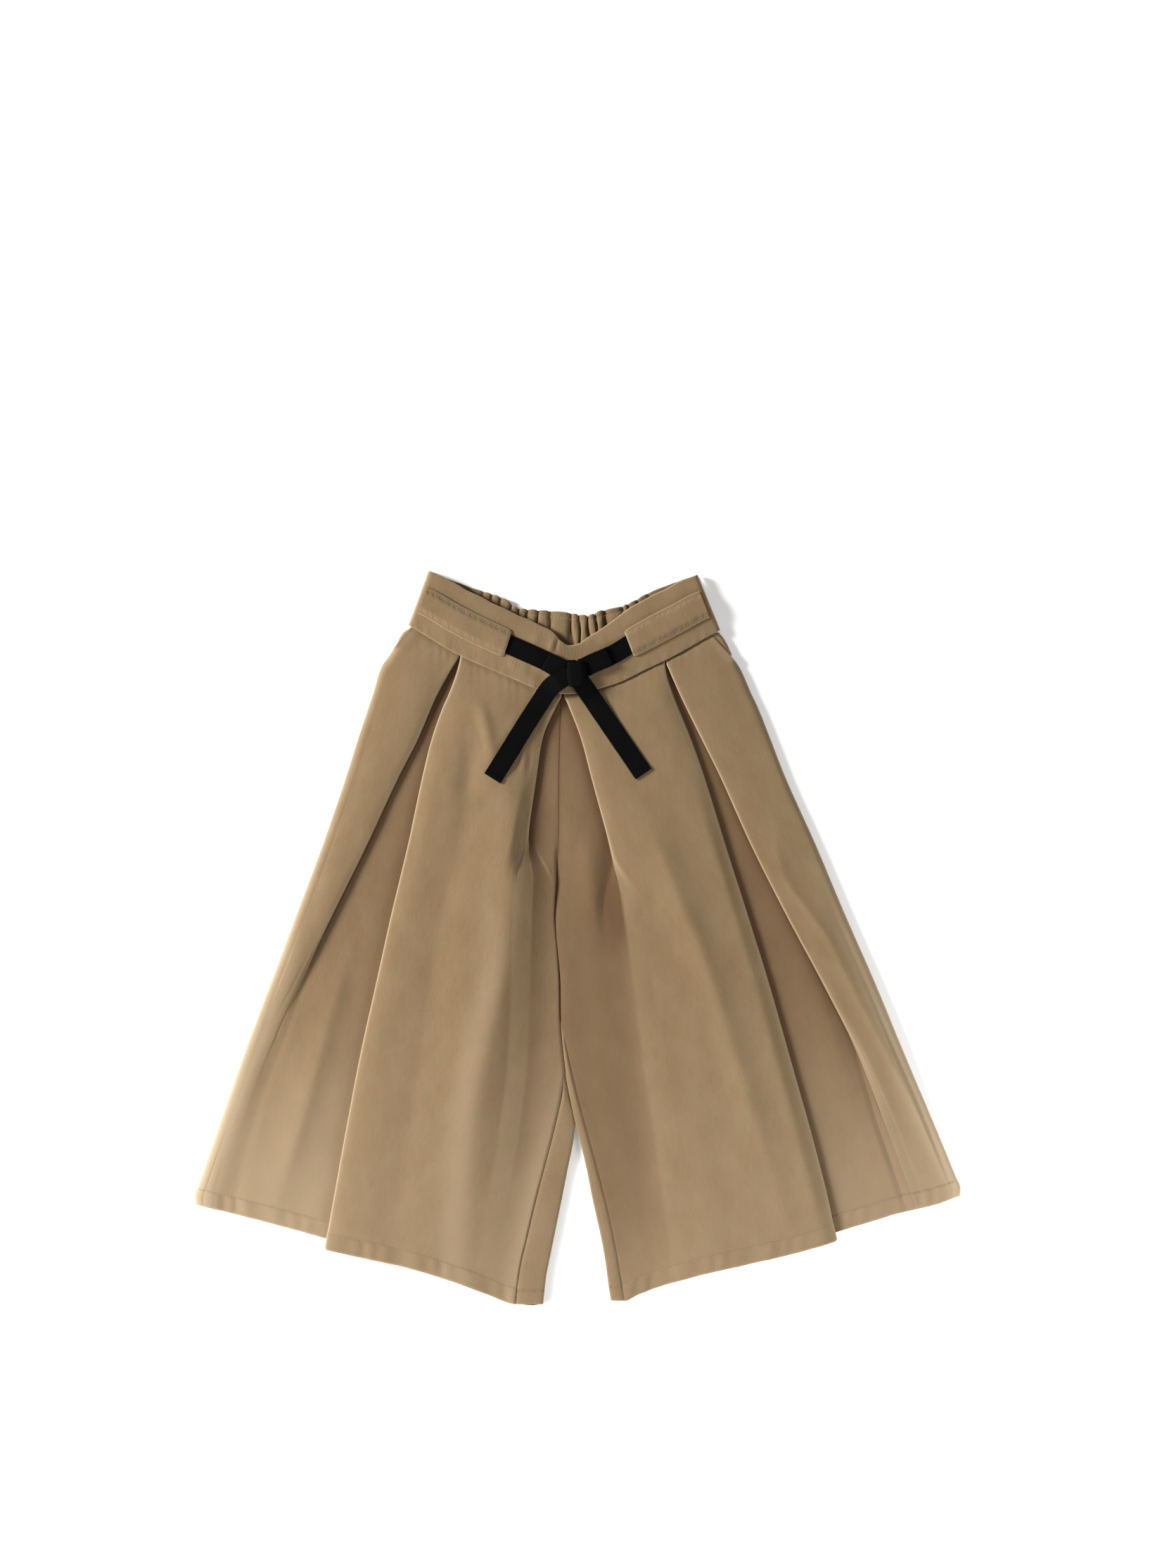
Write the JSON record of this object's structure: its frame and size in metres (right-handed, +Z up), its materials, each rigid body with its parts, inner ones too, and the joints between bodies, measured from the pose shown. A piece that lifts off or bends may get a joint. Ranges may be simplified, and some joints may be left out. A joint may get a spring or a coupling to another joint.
{
  "type": "palazzo pants",
  "caption": "Child's wide pleated culottes laid flat, front side up, with a gathered back waist, belt casings and a ribbon tied in a small bow.",
  "frame": {"origin": "middle of the outline on the surface that the garment lies on", "axes": "+Y towards the waist, +Z up from the surface out of the garment's front side, +X towards the side of the leg at the viewer's right"},
  "size_m": [0.6208, 0.5944, 0.0166],
  "materials": {
    "cotton_twill": "beige cotton twill, matt, with a fine diagonal weave and matching topstitching",
    "grosgrain_ribbon": "black grosgrain ribbon, fine cross ribs and looped edges, low sheen"
  },
  "bodies": {
    "root": {"front_leg_left": "cotton_twill", "front_leg_right": "cotton_twill", "back_leg_left": "cotton_twill", "back_leg_right": "cotton_twill", "pocket_facing_left": "cotton_twill", "pocket_facing_right": "cotton_twill", "front_waistband": "cotton_twill", "back_waistband": "cotton_twill", "casing_left": "cotton_twill", "casing_right": "cotton_twill", "ribbon_left": "grosgrain_ribbon", "ribbon_right": "grosgrain_ribbon", "bow_loop_left": "grosgrain_ribbon", "bow_loop_right": "grosgrain_ribbon", "bow_knot": "grosgrain_ribbon", "tail_left": "grosgrain_ribbon", "tail_right": "grosgrain_ribbon"}
  },
  "joints": []
}
